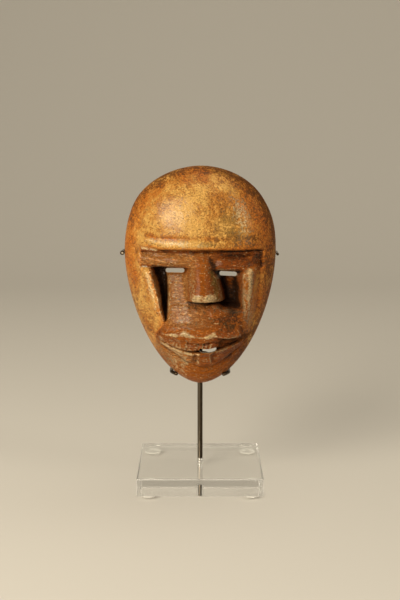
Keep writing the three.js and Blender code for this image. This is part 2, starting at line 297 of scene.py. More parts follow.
def makeLight(name, values):
    data = bpy.data.lights.new(name, "AREA")
    data.shape = "RECTANGLE"
    data.size, data.size_y = values["size"]
    data.energy = values["power"]
    data.color = values["colour"]
    light = addObject(name, data)
    light.location = values["place"]
    aim = Vector(values.get("target", (0, 0, 0.1))) - light.location
    light.rotation_euler = aim.to_track_quat("-Z", "Y").to_euler()


def makeWorld(values):
    world = bpy.data.worlds.new("soft room")
    world.use_nodes = True
    background = world.node_tree.nodes["Background"]
    background.inputs["Color"].default_value = (*values["worldColour"], 1)
    background.inputs["Strength"].default_value = values["worldStrength"]
    scene.world = world


makePaper(studio)
for lightName in ("key", "front", "side", "top", "back"):
    makeLight(lightName, studio[lightName])
makeWorld(studio)
scene.view_settings.view_transform = "Standard"
print("studio set")


# the mask's shape: x to the viewer's right, level over the widest line, height forwards from the rim,
# all three in millimetres

maskLow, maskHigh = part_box("mask")

maskShape = {
    "halfWidth": (maskHigh.x - maskLow.x) / 2 / mm,
    "crownHeight": 46.2,
    "chinDrop": 75.9,
    "crownPower": 2.55,
    "chinPower": 1.74,
    "contourHeight": 7.0,
    "domeHeight": 33.5,
    "slope": 0.02,  # the mask hangs a little lower on the viewer's right
    "rows": 300,
    "frontColumns": 236,
    "backColumns": 22,
}
widestZ = maskLow.z / mm + maskShape["chinDrop"]
rimY = maskHigh.y / mm

brow = {"edge": 2.0, "tilt": 0.012, "rollHeight": 0.8, "rollHalfWidth": 2.3, "grooveDepth": 0.3,
        "middleX": 0.8, "halfLength": 32.8}
band = {"left": -32.6, "right": 34.4, "height": 28.1, "backSweep": 0.0062, "rollHeight": 1.9,
        "rollHalfWidth": 2.5, "foot": -8.5, "endLip": 3.4, "underCut": 3.0}
cheek = {"plateauX": -18.0, "grooveHeight": 13.0, "length": 30.0}
pocket = {"floorHeight": 12.5, "bottomLevel": -29.8, "wallX": 21.9}
lobe = {"rise": 2.7, "halfWidth": 3.3, "grooveDepth": 1.9, "length": 34}
nose = {"topLevel": 1.0, "length": 27.0, "topHeight": 28.2, "tipRise": 7.1, "leftShoulder": -3.4,
        "rightShoulder": 3.4, "rootHollow": 1.1}
tipLevel = nose["topLevel"] - nose["length"]
lowerFace = {"topHeight": 20.2, "lipHeight": 32.3, "sideDrop": 0.0125}
mouth = {"left": -22.0, "right": 22.8, "level": -54.3, "leftCurve": 0.0135, "rightCurve": 0.0108,
         "lipLevel": -45.4, "toothStep": 0.8, "openDepth": 3.6, "gapDepth": 3.4,
         "toothNicks": (-7.2, -0.9, 2.4, 4.5), "lipGrooves": (-2.4, 7.5), "lipNicks": (-0.8, 5.7)}


def levelShare(level):  # 1 at the crown and at the chin
    upper = np.clip(level / maskShape["crownHeight"], 0, 1) ** maskShape["crownPower"]
    lower = np.clip(-level / maskShape["chinDrop"], 0, 1) ** maskShape["chinPower"]
    return np.where(level > 0, upper, lower)


def roundness(level):
    return mix(1.8, 1.89, ramp(-12, 12, level))


def halfWidthAt(level):
    return maskShape["halfWidth"] * (1 - levelShare(level)) ** (1 / roundness(level))


def outlineShare(x, level):  # 0 on the axis, 1 on the outline
    across = (np.abs(x) / maskShape["halfWidth"]) ** roundness(level)
    return np.minimum(1, np.sqrt(across + levelShare(level)))


def domeAt(x, level):
    rise = np.sqrt(np.maximum(0, 1 - outlineShare(x, level) ** 2.2))
    return mix(maskShape["contourHeight"], maskShape["domeHeight"], rise)


def browEdge(x):
    return brow["edge"] + brow["tilt"] * x + 0.9 * ramp(-22, -33, x)


def lidEdge(x):
    return band["foot"] - 1.3 * ramp(-4, 10, x) + 3.4 * ramp(21, 30, x)


def carveBrow(x, level, dome):  # the brow's roll, the band sunk under it and the lids along the band's foot
    edge, lower = browEdge(x), lidEdge(x)
    roll = brow["rollHeight"] * hump(level, edge + 2.9, brow["rollHalfWidth"])
    groove = brow["grooveDepth"] * hump(level, edge + 6.1, 0.8)
    along = ramp(brow["halfLength"] + 4.2, brow["halfLength"] - 0.8, np.abs(x - brow["middleX"]))
    offNose = 1 - hump(x, 1.5, 7.5)
    lid = (band["height"] - band["backSweep"] * x * x - 0.5 * hump(level, edge - 2.8, 1.6) * offNose
           + band["rollHeight"] * hump(level, lower + 4.2, band["rollHalfWidth"]) * offNose
           + band["endLip"] * ramp(-19, -27, x) * hump(level, edge - 0.9, 1.2)
           - nose["rootHollow"] * hump(x, 6.6 - 0.3 * level, 3.0) * hump(level, -5.0, 4.6))
    lid = lid - band["underCut"] * np.clip((lower + 1.9 - level) / 1.9, 0, 1.6) ** 2 * span(x, -29, -24, 20, 25)
    sunk = dome - mix(1.8, 0.7, ramp(-18, -27, x))
    ends = 1 - span(x, -30, -25, 21, 26)
    inBand = (span(x, band["left"] - 1.6, band["left"] + 1.6, band["right"] - 1.4, band["right"] + 1.4)
              * span(level, lower - 0.9 - 1.5 * ends, lower - 0.1 + 1.2 * ends, edge - 0.6, edge + 0.75))
    chip = 1.3 * hump(x, -34.4, 1.7) * hump(level, 0.6, 3.2) + 0.6 * hump(x, -32.5, 2.5) * hump(level, 7.3, 1.2)
    return mix(dome + along * (roll - groove) - chip, np.minimum(lid, sunk), inBand)


def lowerFaceAt(x, level):  # the long slope from under the eyes down to the upper lip
    down = np.clip((-11 - level) / 34, 0, 1)
    slope = mix(lowerFace["topHeight"], lowerFace["lipHeight"], down**0.8)
    return slope - lowerFace["sideDrop"] * (x - 2.2) ** 2


def carveLeftPocket(x, level, height):
    top = lidEdge(x)
    down = np.clip((top - level) / cheek["length"], 0, 1)
    crestX = -28.4 + 8.6 * down**0.9
    footX = -22.4 + 3.6 * down**0.7
    groove = mix(cheek["grooveHeight"], 22, ramp(0.55, 1.05, down))
    floor = mix(groove, lowerFaceAt(x, level), ramp(cheek["plateauX"] - 1.2, cheek["plateauX"] + 1.0, x))
    wall = 1 - (1 - ramp(crestX, footX, x)) ** 1.1
    inside = wall * span(level, -44, -38, top - 0.8, top + 0.1) * ramp(8, 5, x)
    crest = 0.8 * hump(x, crestX - 1.5, 3.0) * ramp(top + 1, top - 3, level) * ramp(1, 0.6, down)
    return mix(height + crest, np.minimum(height, floor), inside)


def carveRightPocket(x, level, height):
    top = lidEdge(x)
    down = np.clip((top - level) / lobe["length"], 0, 1)
    inside = (ramp(pocket["wallX"] + 2.4, pocket["wallX"] - 2.6, x + 0.6 * ramp(-20, -12, level))
              * ramp(top + 0.1, top - 0.8, level) * ramp(3, 6, x)
              * ramp(pocket["bottomLevel"] - 2.0, pocket["bottomLevel"] + 1.4, level - 3.2 * ramp(14, 8, x)))
    crestX = 26.8 - 2.2 * down**2
    side = np.where(x > crestX, lobe["halfWidth"], lobe["halfWidth"] * 1.25)
    raised = lobe["rise"] * hump(x, crestX, side) * span(level, -48, -32, -9.5, -3.5) * (1 - inside)
    groove = lobe["grooveDepth"] * hump(x, 32.6 - 3.6 * down**1.5, 1.9) * span(level, -46, -24, -6, 0)
    floor = pocket["floorHeight"] + 2.5 * hump(x, 18, 5) * hump(level, -14, 4)
    return mix(height, np.minimum(height, floor), inside) + raised - groove


def noseAt(x, level):  # a flat-faced wedge with softened edges, its right side falling away in two slopes
    down = np.clip((nose["topLevel"] - level) / nose["length"], 0, 1)
    ridge = nose["topHeight"] + nose["tipRise"] * down**0.9 - 0.35 * hump(level, -6, 5)
    rightShoulder = nose["rightShoulder"] + 1.4 * down + 2.2 * ramp(0.72, 0.95, down)
    face = ridge + 0.4 - 0.045 * (x - 1.2) ** 2
    leftSide = ridge + (1.5 + 1.4 * down) * (x - nose["leftShoulder"] + 1.2 * down)
    rightSide = ridge - (1.0 + 0.35 * down) * (x - rightShoulder)
    rightWall = ridge - 6.5 - 5 * (x - mix(1.5, 11.9, down**0.45))
    height = softMin(softMin(face, leftSide, 4.0), softMin(rightSide, rightWall, 1.8), 2.6)
    wornTip = 2.4 * np.clip((tipLevel + 3.8 - level) / 3.8, 0, 1) ** 2
    ends = span(level, tipLevel - 1.5, tipLevel - 0.2, -1.5, 3.5)
    return mix(13, np.maximum(height - wornTip, 10), ends)


def lipEdge(x):
    wave = 0.9 * hump(x, -8.6, 2.0) + 0.7 * hump(x, 6.9, 2.2) - 0.6 * hump(x, 0.5, 4)
    return mouth["lipLevel"] + wave - 1.6 * ramp(7, 17, x) + 0.0034 * np.maximum(0, x) ** 2


def muzzleAt(x, level):
    lip = lipEdge(x)
    height = (lowerFaceAt(x, level) - 0.55 * hump(level, lip + 4.6, 1.3) * hump(x, 0, 20)
              + 0.9 * hump(level, lip + 1.0, 1.1) + 0.7 * hump(level, -33.2, 1.8) * ramp(2, 10, x))
    leftX = mix(-18.4, -22.5, ramp(-34, -43, level))
    inside = (ramp(-28.0, -32.0, level - 2.6 * ramp(16, 7, x)) * ramp(lip - 2.0, lip - 1.2, level)
              * span(x, leftX - 2.2, leftX + 2.2, 21.0, 26.5))
    return mix(12, height, inside)


def mouthLine(x):
    return mouth["level"] + np.where(x < -2, mouth["leftCurve"], mouth["rightCurve"]) * (x + 2) ** 2


def carveMouth(x, level, height):
    line, lip = mouthLine(x), lipEdge(x)
    along = span(x, mouth["left"] - 1.5, mouth["left"] + 1.5, mouth["right"] - 1.7, mouth["right"] + 1.8)
    down = np.maximum(0, lip - level)
    under = lowerFace["lipHeight"] + 0.2 - 0.0125 * (x - 1) ** 2 - 0.15 * np.minimum(down, 3) ** 2 - 0.08 * down
    nicks = sum(hump(x, at + 0.12 * (level + 51), 0.42) for at in mouth["toothNicks"])
    inTeeth = ramp(lip - 3.0, lip - 3.7, level)
    crease = 0.7 * hump(level, lip - 3.9, 0.5) * ramp(-9, -5, x)
    inner = under - (mouth["toothStep"] + 1.1 * nicks) * inTeeth - crease - mouth["openDepth"] * ramp(6, 15, x)
    behind = ramp(lip + 0.3, lip - 0.9, level) * ramp(line - 0.2, line + 0.5, level)
    cut = mix(height, inner, along * behind)
    lipFoot = line - mix(2.5, 10, hump(x, 4, 14))
    grooves = (sum(hump(x, at, 1.3) for at in mouth["lipGrooves"])
               - 0.5 * sum(hump(x, at, 0.6) for at in mouth["lipNicks"]))
    grooves = grooves * span(level, line - 8.5, line - 5.5, line - 2.0, line - 0.8)
    creases = (hump(level, line - 3.4, 0.7) + hump(level, line - 5.7, 0.7)) * span(x, -22, -17, -5, -2.5)
    lower = (28.2 - 0.0135 * (x - 1) ** 2 - 0.72 * np.maximum(0, line - 0.9 - level)
             + 0.9 * hump(level, line - 1.0, 1.0) - 1.5 * grooves + 0.6 * creases)
    onLip = span(level, lipFoot - 0.8, lipFoot + 1.2, line - 0.4, line + 0.1) * along
    chinCut = (0.8 * hump(level, line - mix(6, 13.2, hump(x, 3, 13)), 0.7) * ramp(17, 12, np.abs(x - 2))
               + 0.45 * hump(level, line - mix(9, 16.6, hump(x, 2, 12)), 0.8) * ramp(12, 8, np.abs(x - 1)))
    cut = mix(cut, np.maximum(cut, lower), onLip) - 0.9 * hump(level, lipFoot - 0.2, 0.9) * along - chinCut
    gap = hump(level, line + 0.4, 0.75 + 0.4 * ramp(4, 13, x)) * along
    return cut - mouth["gapDepth"] * gap * mix(0.18, 1, ramp(-9, 1, x)) * mix(1, 0.4, ramp(8, 13, x))


def frontHeight(x, level):
    dome = domeAt(x, level)
    height = carveBrow(x, level, dome)
    height = carveLeftPocket(x, level, height)
    height = carveRightPocket(x, level, height)
    height = softMax(height, noseAt(x, level), 1.4)
    height = softMax(height, muzzleAt(x, level), 0.8)
    height = carveMouth(x, level, height)
    return mix(dome, height, ramp(1, 0.93, outlineShare(x, level)))


# maps of the front on an even grid: the carving with the marks of the hand in it, and from it
# how deep it is cut and where painted shade and highlights follow its hollows and ridges

mapStep = 0.25
mapX = np.arange(-44, 44.01, mapStep)
mapLevel = np.arange(-78, 48.01, mapStep)
gridX, gridLevel = np.meshgrid(mapX, mapLevel)
gridShare = outlineShare(gridX, gridLevel)


def smoothed(field, radius):
    reach = int(3 * radius / mapStep)
    weights = hump(np.arange(-reach, reach + 1) * mapStep, 0, radius)
    weights /= weights.sum()
    padded = np.pad(field, reach, mode="edge")
    rows = np.apply_along_axis(np.convolve, 1, padded, weights, "valid")
    return np.apply_along_axis(np.convolve, 0, rows, weights, "valid")


def readMap(field, x, level):
    column = np.clip((x - mapX[0]) / mapStep, 0, len(mapX) - 1.001)
    row = np.clip((level - mapLevel[0]) / mapStep, 0, len(mapLevel) - 1.001)
    i, j = row.astype(int), column.astype(int)
    u, v = row - i, column - j
    return ((field[i, j] * (1 - v) + field[i, j + 1] * v) * (1 - u)
            + (field[i + 1, j] * (1 - v) + field[i + 1, j + 1] * v) * u)


def gridGrain(wide, tall, seed, octaves=1):
    return grain(gridX / wide, gridLevel / tall, np.full_like(gridX, seed), octaves)


def wandering():  # the grid's places moved a little, since nothing that a hand carves runs quite true
    inner = ramp(0.97, 0.85, gridShare)
    aside = 0.5 * gridGrain(8, 8, 1.7) + 0.16 * gridGrain(2.4, 2.4, 1.7)
    upward = 0.4 * gridGrain(9, 7, 6.7) + 0.14 * gridGrain(2.4, 2.4, 6.7)
    return gridX + aside * inner, gridLevel + upward * inner


def knifeMarks(carved):  # the hand's unevenness, chisel streaks and rough grain in the cut parts
    cut = ramp(0.8, 2.5, carved)
    inBand = span(gridLevel, -9.5, -7.5, 1, 3) * cut
    below = cut * (1 - inBand)
    uneven = 0.28 * gridGrain(15, 17, 3.1) + 0.10 * gridGrain(5, 6, 9.3)
    streaks = 0.6 * gridGrain(9, 1.0, 5.7, 3) * inBand
    rough = (0.34 * gridGrain(5.5, 1.3, 7.9, 3) + 0.14 * gridGrain(1.5, 0.8, 2.9, 2)) * below
    skin = 0.05 * gridGrain(1.1, 0.9, 4.3, 2) * (1 - cut)
    fromMouth = gridLevel - mouthLine(gridX)  # round the mouth the knife followed the lips
    curved = 0.34 * grain(gridX / 6, fromMouth / 1.2, np.full_like(gridX, 6.1), 3) * ramp(-46, -51, gridLevel)
    return uneven + streaks + rough + skin + curved


def makeCarving(x, level):
    cut = smoothed(frontHeight(x, level) - domeAt(x, level), 0.38)
    return cut + knifeMarks(-cut) * ramp(1, 0.94, gridShare)


def makeMaps(x, level, carving):  # where the wood is stained, worn and grimy, and where shade and highlights are painted on it
    def spot(atX, halfWidth, atLevel, halfHeight):
        return hump(x, atX, halfWidth) * hump(level, atLevel, halfHeight)

    height = domeAt(gridX, gridLevel) + carving
    near, wide = smoothed(height, 1.2), smoothed(height, 4.0)
    inner = ramp(0.99, 0.93, gridShare)
    # how far each place lies under or over its surroundings, for painted shade in the hollows and painted
    # highlights on the ridges
    hollowness = (np.clip((near - height) / 1.2, 0, 1) * 0.55 + np.clip((wide - height) / 5.5, 0, 1)) * inner
    ridges = (np.clip((height - near) / 0.8, 0, 1) + 0.4 * np.clip((height - wide) / 6, 0, 1)) * inner
    edge, lid, lip, line = browEdge(x), lidEdge(x), lipEdge(x), mouthLine(x)
    down = np.clip((lid - level) / lobe["length"], 0, 1)
    leftEdge = np.where(level > band["foot"], band["left"], -27.8 + 8 * down**0.9 - 5 * ramp(-38, -47, level))
    rightEdge = band["right"] - 2.6 * ramp(-6, -12, level) - 5 * down
    inFace = (span(x, leftEdge - 1.3, leftEdge + 1.3, rightEdge - 1.2, rightEdge + 1.2)
              * ramp(edge + 0.6, edge - 0.6, level))
    inBand = inFace * span(level, -7.6, -6.6, -0.8, 0.2)
    overBrow = hump(level, edge + 6.6, 1.7) * span(x, -33, -27, 28, 34)
    alongBrow = ramp(33, 28, np.abs(x - brow["middleX"]))
    onBrow = hump(level, edge + 3.3, 1.9) * alongBrow
    underBrow = hump(level, edge - 0.6, 1.3) * ramp(20, -5, x)
    onBandEnd = hump(level, edge - 0.5, 0.8) * span(x, -32.6, -31, -24, -21.5)
    onLidEnd = hump(level, lid + 0.2, 0.6) * span(x, -33.5, -31.5, -26, -24)
    bandShade = inBand * ramp(5, 12, x) * hump(level, edge - 2.6, 2.4)
    noseTop = span(level, -28, -24, -5, 0.5)
    noseRoot = noseTop * hump(x, 2.0 - 0.12 * (level + 4), 5.0 - 0.25 * np.clip(level + 7, 0, 8))
    besideRoot = spot(4.4 - 0.4 * level, 1.2 - 0.16 * np.minimum(level, 0), -6.5, 5.6)
    besideNose = hump(x, -7.6, 2.6) * span(level, -27, -24, -14, -11)
    onTip = hump(level, tipLevel + 2.2, 1.9) * span(x, -4.9, -2.4, 7.4, 10.0)
    underNose = hump(level, tipLevel - 3.2, 1.6) * span(x, -8.5, -5, 11, 14)
    onPlateau = span(x, -19, -17, -6, -4)
    plateau = (span(level, -45, -38, -14, -10) * ramp(14, -8, x)
               * (1 - ramp(-7.5, -6, x) * ramp(-28, -24, level)))
    rightCheek = ramp(27, 31, x) * ramp(3, -3, level)
    rightLedge = spot(18, 5, -31, 2.6) + 0.5 * spot(13, 8, -33.5, 3)
    rightMuzzle = hump(level, -39.0, 5.5) * span(x, 0, 14, 22, 27)
    lobeTone = span(x, 22, 24, 30, 33) * ramp(-5, -9, level)
    onLobes = (0.75 * hump(x, -29.9 + 8.2 * down**0.9, 1.3) * span(down, 0.02, 0.1, 0.5, 0.75)
               + 0.9 * hump(x, 27.2 - 2.2 * down**2, 1.15) * span(level, -32, -22, -9, -6))
    onLip = hump(level, lip + 0.5, 0.8) * span(x, -21.5, -17, 7, 9.5)
    onPeaks = hump(level, lip + 0.9, 1.5) * (hump(x, -8.6, 1.3) + hump(x, 6.9, 2.0))
    onLowerLip = hump(level, line - 1.0, 0.8) * span(x, -23, -19, -1, 1.5)
    onRightLip = hump(level, line - 0.3, 0.6) * span(x, 8.5, 11, 17, 21)
    onTeeth = sum(hump(x, at - 0.7, 0.35) for at in mouth["toothNicks"]) + hump(x, -0.8, 0.5) + hump(x, 5.7, 0.6)
    onTeeth = onTeeth * hump(level, np.where(level < -54.5, -59.0, -50.5), 2.2)
    openMouth = ramp(7.0, 10.5, x) * ramp(lip + 0.3, lip - 0.5, level) * ramp(-2, 0.3, level - line)
    sheen = (0.3 * spot(-12.4 + 0.25 * (level - 20), 8, 20, 10)
             + 0.62 * spot(22.2 - 0.25 * (level - 20), 5.0, 19, 14))
    deep = ramp(6.5, 12.5, -carving) * ramp(1, -4, level) * (1 - onPlateau) * (1 - 0.75 * spot(17, 6, -16, 6))
    stain = np.maximum.reduce([
        inFace * (0.97 - 0.2 * lobeTone),
        ramp(-38, -58, level) * mix(0.7, 0.45, ramp(8, 24, np.abs(x))),
        # redder and darker towards the viewer's right
        0.54 * ramp(-4, 30, x) * mix(1, 0.75, ramp(-22, -42, level)),
        0.6 * rightCheek,
        0.3 * spot(-27.5, 3, -22, 14),
        0.4 * overBrow,
        ramp(0.66, 0.95, gridShare) * mix(0.5, 0.62, ramp(-20, 20, x)) * mix(1, 0.5, ramp(-12, -30, level))])
    ember = np.maximum.reduce([
        0.85 * noseTop * hump(x, 1.4, 3.4),
        0.9 * hump(level, edge + 0.9, 0.9) * alongBrow,
        0.3 * inFace * span(level, -7, -5, -1.5, -0.5) * hump(x, -18, 12),
        0.9 * hump(x, -27.4 + 8.4 * down**0.9, 2.2) * span(down, 0, 0.08, 0.8, 1),
        0.8 * hump(x, 29.2 - 3 * down**1.5, 1.4) * span(level, -40, -30, -9, -6),
        0.7 * spot(-23 + 4 * ramp(-20, -45, level), 3.5, -38, 12),
        0.7 * spot(24, 3.0, -44, 8),
        # brighter orange along the ridge over the muzzle's right, partly a painted highlight
        0.9 * hump(level, -33.0, 1.9) * span(x, -2, 14, 19, 26),
        0.8 * hump(level, lip + 3.2, 1.8) * span(x, -20, -15, 6, 13),
        onLip,
        0.8 * hump(level, lip - 1.9, 1.3) * span(x, -14, -10, 6, 8),
        0.8 * onLowerLip,
        0.5 * hump(level, line - 3, 2.2) * span(x, -24, -18, -8, -3),
        0.8 * spot(2.4, 3.6, line - 5, 3),
        0.95 * ramp(-57, -66, level),
        0.62 * ramp(0.80, 0.93, gridShare) * ramp(-10, -20, x) * span(level, -30, -5, 30, 42)])
    # olive: mottled on the brow and the forehead's right, and as painted shade down the nose's right side and
    # over the muzzle's right
    oliveAndShade = np.maximum.reduce([
        0.9 * span(level, -28, -24, -11, -6) * hump(x, 6.4 + 2.5 * ramp(-8, -24, level), 2.2),
        0.62 * spot(19, 12, 16, 20) * ramp(3, 8, level),
        onBrow * (0.3 + 0.25 * hump(x, 4, 8)),
        0.35 * hump(level, -38.5, 3.0) * span(x, 0, 8, 18, 24)])
    # pale, partly wear and partly painted highlights: on the brow's roll, the nose tip and the ridges, the band's
    # and lids' left ends, the lobes' crests, the lips, the teeth's nicks and the lower right cheek, with the
    # painted sheen on the forehead
    wearAndHighlight = (onBrow * (0.1 + 0.52 * hump(x, -11, 11) + 0.16 * hump(x, 23, 6)) + 0.5 * spot(-27, 3, 6.6, 1.4)
              + 0.9 * onBandEnd + 0.6 * onLidEnd + sheen + 0.42 * ridges * ramp(3, -1, level)
              + 1.4 * onTip + 0.2 * hump(x, -4.4, 2.2) * span(level, -24, -18, -8, -4)
              + 0.1 * onPlateau * ramp(-10, -14, level)
              + 0.9 * onLobes + 0.22 * lobeTone * ramp(-38, -30, level) + 0.42 * spot(27, 3.5, -36, 8)
              + 0.8 * onLip + 1.1 * onPeaks + 0.5 * onTeeth + 0.4 * onLowerLip + 0.4 * onRightLip
              + 0.2 * ramp(-3, -10, x) * ramp(-45, -50, level) * inFace + 0.16 * spot(-9, 9, -62, 7))
    # mostly painted shade, with some dark patina: darker in the hollows and deep pockets, under the brow, beside
    # the nose's root, under the nose, along the right pocket's lower ledge, over the muzzle's right and in the
    # open mouth; lighter on the band's left end, the plateau and just under the brow
    soot = (hollowness * (1 - 0.75 * besideNose) * (1 - inBand * mix(0.45, 0.8, ramp(-16, -26, x)))
            + 0.33 * deep + 0.28 * bandShade + 0.24 * inBand * ramp(6, 22, x)
            + 0.3 * hump(level, edge - 0.2, 1.1) * span(x, 8, 16, 33, 36) + 0.35 * spot(-34.6, 1.3, -0.3, 2.5)
            + 0.7 * besideRoot + 0.4 * underNose + 0.5 * rightLedge + 0.25 * rightMuzzle
            + 0.12 * openMouth + 0.42 * spot(15.5, 5, -54, 5))
    soot = (soot * (1 - onBandEnd) * (1 - 0.35 * underBrow) * (1 - 0.5 * underNose)
            * (1 - 0.5 * onPlateau * ramp(-24, -20, level))
            * (1 - 0.45 * ramp(8, 11, x) * hump(level, line + 1.5, 3.5)))
    # darker round the outline, towards the top and towards the viewer's right, and painted shade under the nose,
    # over the muzzle's right where the nose's shadow falls, and in the open mouth
    grime = (0.5 * ramp(0.8, 1.0, gridShare) * ramp(2, 34, level)
             + 0.42 * ramp(0.84, 1.0, gridShare) * ramp(-5, 20, x)
             + 0.24 * ramp(0.8, 0.95, gridShare) * ramp(-10, -20, x) + 0.2 * ramp(24, 44, level)
             + 0.28 * ramp(8, 30, x) + 0.24 * overBrow + 0.35 * onBrow * ramp(0, 16, x)
             + 0.4 * spot(30, 4, 8, 2.4) + 0.45 * spot(35.6, 3.0, -5, 10)
             + 0.25 * hump(x, 22, 2.2) * span(level, -40, -30, -9, -6) + 0.1 * lobeTone * ramp(-10, -30, level)
             + 0.5 * underNose + 0.35 * rightMuzzle + 0.75 * openMouth)
    dust = (0.9 * inFace * plateau + inBand * ramp(14, -8, x) * (1 - 0.9 * noseRoot)
            + 0.9 * hump(x, -4.4, 2.4) * span(level, -22, -12, -8, -6)
            + hump(level, line - 5, 5.5) * ramp(3, -8, x))
    fields = {"stain": stain, "ember": ember, "oliveAndShade": oliveAndShade, "wearAndHighlight": wearAndHighlight, "soot": soot, "grime": grime,
              "dust": dust}
    return {name: np.clip(field, 0, 1) for name, field in fields.items()}


bentX, bentLevel = wandering()
frontCarving = makeCarving(bentX, bentLevel)
maps = makeMaps(bentX, bentLevel, frontCarving)
print("mask maps made")


paints = ("stain", "ember", "oliveAndShade", "wearAndHighlight", "soot", "grime", "dust", "inside")  # what the wood's shader reads


def paint(mesh, **values):  # one value for all vertices, or one for each
    for name in paints:
        setAttribute(mesh, name, values.get(name, 0.0))


def makeBall(name, around, rows):  # a ball to pull into shape, with each vertex's row from the top and its turn
    bm = bmesh.new()
    bmesh.ops.create_uvsphere(bm, u_segments=around, v_segments=rows, radius=1)
    mesh = toMesh(name, bm)
    flat = np.empty(len(mesh.vertices) * 3)
    mesh.vertices.foreach_get("co", flat)
    x, y, z = flat.reshape(-1, 3).T
    row = np.rint(np.arccos(np.clip(z, -1, 1)) / math.pi * rows).astype(int)
    return mesh, row, np.arctan2(y, x)


def shapeBall(mesh, x, level, height, aside=0):
    points = np.column_stack([x + aside, rimY - height, widestZ + level - maskShape["slope"] * x]) * mm
    mesh.vertices.foreach_set("co", points.ravel())
    mesh.update()


def crowded(start, end, count, steps, strength, reach):  # places that lie closer together at the steps
    edges = np.linspace(start, end, 4001)
    middle = (edges[1:] + edges[:-1]) / 2
    toEnd = np.minimum(np.abs(middle - start), np.abs(middle - end))
    weight = 1 + 1.2 / np.sqrt(toEnd + 0.05)
    for step in steps:
        weight = weight + strength * hump(middle, step, reach)
    total = np.concatenate([[0], np.cumsum(weight)])
    return np.interp(np.linspace(0, total[-1], count + 1), total, edges)


def columnX(wideX, level):  # a column keeps its place where the mask is wide and closes in elsewhere
    narrowing = 1 - halfWidthAt(level) / maskShape["halfWidth"]
    power = np.clip(0.8 / np.maximum(narrowing, 0.001) - 1, 0, 6)
    return wideX * (1 - narrowing * (np.abs(wideX) / maskShape["halfWidth"]) ** power)


def makeMaskBlank():
    rows, front, back = maskShape["rows"], maskShape["frontColumns"], maskShape["backColumns"]
    crown, chin, half = maskShape["crownHeight"], -maskShape["chinDrop"], maskShape["halfWidth"]
    rowLevels = crowded(crown, chin, rows, (1.2, -8.9, -27, -45.8, -54.3, -63.5), 1.6, 1.5)
    frontX = crowded(-half, half, front, (-33.3, -24, -18.1, -5.2, 5.2, 9.5, 22.2, 34.6), 1.0, 1.8)
    backX = crowded(half, -half, back, (), 0, 1)
    columns = front + back
    mesh, row, turn = makeBall("mask", columns, rows)
    column = np.rint(turn / (2 * math.pi) * columns).astype(int) % columns
    atPole = (row == 0) | (row == rows)
    column[atPole] = 0
    inFront = column <= front
    wideX = np.where(inFront, frontX[np.minimum(column, front)], backX[np.clip(column - front, 0, back)])
    straight = rowLevels[row]  # the rows bend with the mouth
    bend = mouth["leftCurve"] * (columnX(wideX, straight) + 2) ** 2 * hump(straight, mouth["level"], 11)
    level = straight + bend * ramp(chin, chin + 8, straight) * ~atPole
    x = np.where(atPole, 0, columnX(wideX, level))
    turnIn = np.clip((outlineShare(x, level) - 0.93) / 0.07, 0, 1)
    backHeight = maskShape["contourHeight"] * (1 - np.sqrt(1 - turnIn**2))
    height = np.where(inFront, domeAt(x, level) + readMap(frontCarving, x, level), backHeight)
    onOutline = atPole | (column == 0) | (column == front)
    height = np.where(onOutline, maskShape["contourHeight"], height)
    aside = 1.3 * ramp(24, 45, level) + 0.9 * hump(level, 18, 15) * ramp(-20, -38, x)
    shapeBall(mesh, x, level, height, aside)
    paint(mesh, inside=~inFront,
          **{name: np.where(inFront, readMap(field, x, level), 0) for name, field in maps.items()})
    return mesh


hollow = {"side": 0.845, "crown": 0.86, "chin": 0.875, "depth": 24.0, "eyeRise": 16.5, "chinShift": 6,
          "rings": 80, "spokes": 190, "lipRings": 5, "lipHeight": -3.0, "flare": 0.022,
          "gougeDepth": 1.3, "gougeWidth": 6.5, "gougeLength": 10}


def makeHollowCutter():
    rings = hollow["rings"]
    mesh, ring, turn = makeBall("hollow cutter", hollow["spokes"], rings)
    upward = np.cos(turn) >= 0
    lengthwise = np.abs(np.cos(turn)) ** np.where(upward, 2 / maskShape["crownPower"], 2 / maskShape["chinPower"])
    edgeLevel = np.where(upward, maskShape["crownHeight"], -maskShape["chinDrop"]) * lengthwise
    edgeX = -np.sign(np.sin(turn)) * halfWidthAt(edgeLevel)  # turned so that the faces look outwards
    bowlRings = rings - hollow["lipRings"]  # the last rings flare out over the rim as a rounded lip
    reach = np.sin(math.pi / 2 * np.clip(ring / bowlRings, 0, 1))
    overLip = np.clip((ring - bowlRings) / (hollow["lipRings"] - 1), 0, 1)
    flare = 1 + hollow["flare"] * overLip**2
    reach = np.where(ring == rings, 0, reach)
    x = edgeX * hollow["side"] * reach * flare
    level = edgeLevel * np.where(upward, hollow["crown"], hollow["chin"]) * reach * flare
    level = level - hollow["chinShift"] * (1 - reach)
    bowl = hollow["depth"] * (1 - np.minimum(1, reach) ** 2.6) ** 0.55
    eyes = hollow["eyeRise"] * hump(level, -17, 14) * (1 - reach**4)
    height = np.maximum(0.4 * bowl * (1 - reach), bowl - eyes)
    gouges = (Vector((px / hollow["gougeWidth"], pz / hollow["gougeLength"], 0.3)) for px, pz in zip(x, level))
    cells = np.fromiter((noise.voronoi(gouge)[0][0] for gouge in gouges), float)
    height = height - hollow["gougeDepth"] * np.clip(cells, 0, 1) * ramp(1, 0.9, reach)
    overRim = (overLip > 0) | (ring == rings)
    height = np.where(overRim, mix(0.4, hollow["lipHeight"], overLip**1.5), height)
    shapeBall(mesh, x, level, height)
    deepShade = ramp(2, 17, height) * (1 - 0.55 * ramp(0.1, 0.7, cells))  # painted shade: darkest deep down and in each gouge mark
    paint(mesh, stain=0.6, soot=0.3, inside=1.0, grime=deepShade)
    return mesh


